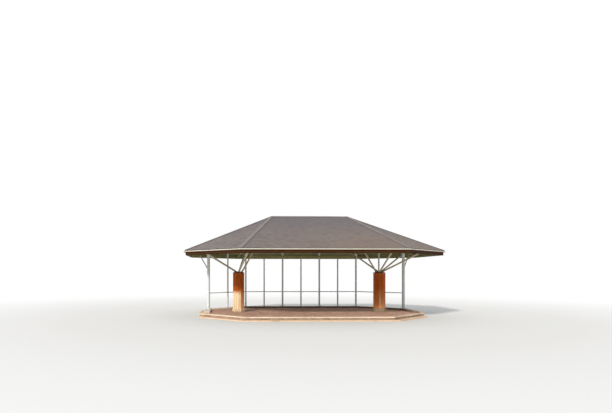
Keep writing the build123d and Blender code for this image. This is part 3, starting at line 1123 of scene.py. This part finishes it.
fascia_stain_and_shade = Finish("fascia stain and shade", roughness=0.7)
fascia_stain_and_shade.shader.inputs["Specular IOR Level"].default_value = 0.15
fascia_grain = fascia_stain_and_shade.noise(14, 9, (0.3, 0.3, 5))
# Painted shade: the brown is darker than the stain itself and stands for the gutter's shade on the
# fascia.
fascia_body = fascia_stain_and_shade.ramp(fascia_grain, (0.3, (46, 23, 3)), (0.5, (72, 39, 7)), (0.7, (92, 54, 12)))
fascia_body = fascia_stain_and_shade.vary(fascia_body, 0.86, 1.1)
fascia_wet = fascia_stain_and_shade.times(
    fascia_stain_and_shade.along("Z", 3.69, 3.6), fascia_stain_and_shade.patches((5, 5), 0.3, 0.7, 0.6, 1.0)
)
fascia_body = fascia_stain_and_shade.blend(fascia_wet, fascia_body, (34, 16, 5))
fascia_stain_and_shade.paint(fascia_stain_and_shade.blend(fascia_stain_and_shade.tone("inside"), fascia_body, (134, 132, 88)))
fascia_stain_and_shade.relief(fascia_grain, 0.0015, 0.5)
fascia_boards = []
for board in solids_of("fascia"):
    fascia_boards += in_lengths(board, fascia_board_length, fascia_joint)
for board in fascia_boards:
    ease(board, 0.005, segments=2, steepest=40)
fascia_ring = gathered(fascia_boards)
inside = fascia_ring.faces.layers.float.new("inside")
for face in fascia_ring.faces:
    outward = face.calc_center_median()
    outward.z = 0
    face[inside] = 1.0 if face.normal.dot(outward.normalized()) < -0.5 else 0.0
add_piece("fascia_boards", fascia_ring, fascia_stain_and_shade, ["fascia"])


# Eaves gutter.
# Off-white metal trough, 115 mm wide, in lengths of about 1.8 m with a rolled bead along its front.
# Flat brackets under it are screwed to the fascia every 0.9 m. Its lower half is painted dark as painted
# shade.

gutter_length = 1.8
gutter_joint = 0.002
bead_radius = 0.008
bead_inset = 0.012
bracket_spacing = 0.9
bracket_width = 0.03
bracket_thickness = 0.005
bracket_leg = 0.09

gutter_paint = Finish("gutter paint", roughness=0.4)
gutter_body = gutter_paint.ramp(gutter_paint.noise(4, 6), (0.3, (236, 231, 218)), (0.7, (247, 244, 235)))
gutter_drips = gutter_paint.patches((30, 5, (1, 1, 0.08)), 0.56, 0.78, 0.0, 0.4)
gutter_body = gutter_paint.blend(gutter_drips, gutter_body, (146, 134, 104))
# Painted shade: the lower half of the gutter is darkened.
gutter_painted_shade = gutter_paint.along("Z", 3.803, 3.79, 0.0, 0.9)
gutter_paint.paint(gutter_paint.blend(gutter_painted_shade, gutter_body, (104, 80, 48)))
gutter_paint.gloss(25, 4, 0.32, 0.55)
gutter_low, gutter_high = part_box("gutter")
troughs = []
beads = []
brackets = []
for trough in solids_of("gutter"):
    along = run_of(trough)[0]
    outward = along.cross(up)
    if sum(vert.co.dot(outward) for vert in trough.verts) < 0:
        outward.negate()
    reach = max(vert.co.dot(outward) for vert in trough.verts)
    back = min(vert.co.dot(outward) for vert in trough.verts)
    front = [vert.co.dot(along) for vert in trough.verts if vert.co.dot(outward) > reach - 0.001]
    inner = [vert.co.dot(along) for vert in trough.verts if vert.co.dot(outward) < back + 0.001]
    bead = bmesh.new()
    centre = outward * (reach - bead_radius) + along * (min(front) + max(front)) / 2
    centre.z = gutter_high.z - bead_radius
    turned(bead, centre, along, bead_radius, max(front) - min(front) - bead_inset, segments=12)
    beads.append(bead)
    count = max(1, round((max(inner) - min(inner)) / bracket_spacing))
    for number in range(count):
        spot = min(inner) + (max(inner) - min(inner)) * (number + 0.5) / count
        turn = Matrix((along, outward, up)).transposed().to_4x4()
        shelf = along * spot + outward * ((reach + back) / 2)
        shelf.z = gutter_low.z - bracket_thickness / 2
        leg = along * spot + outward * (back + bracket_thickness / 2)
        leg.z = gutter_low.z - bracket_leg / 2
        for middle, size in (
            (shelf, (bracket_width, reach - back - 0.004, bracket_thickness)),
            (leg, (bracket_width, bracket_thickness, bracket_leg)),
        ):
            bracket = bmesh.new()
            add_block(bracket, Matrix.Translation(middle) @ turn, size)
            ease(bracket, 0.001)
            brackets.append(bracket)
    troughs += in_lengths(trough, gutter_length, gutter_joint)
for trough in troughs:
    ease(trough, 0.0012, steepest=60)
add_piece("gutter_troughs", gathered(troughs), gutter_paint, ["gutter"])
add_piece("gutter_beads", gathered(beads), gutter_paint, smooth=40)
add_piece("gutter_brackets", gathered(brackets), fascia_stain_and_shade)
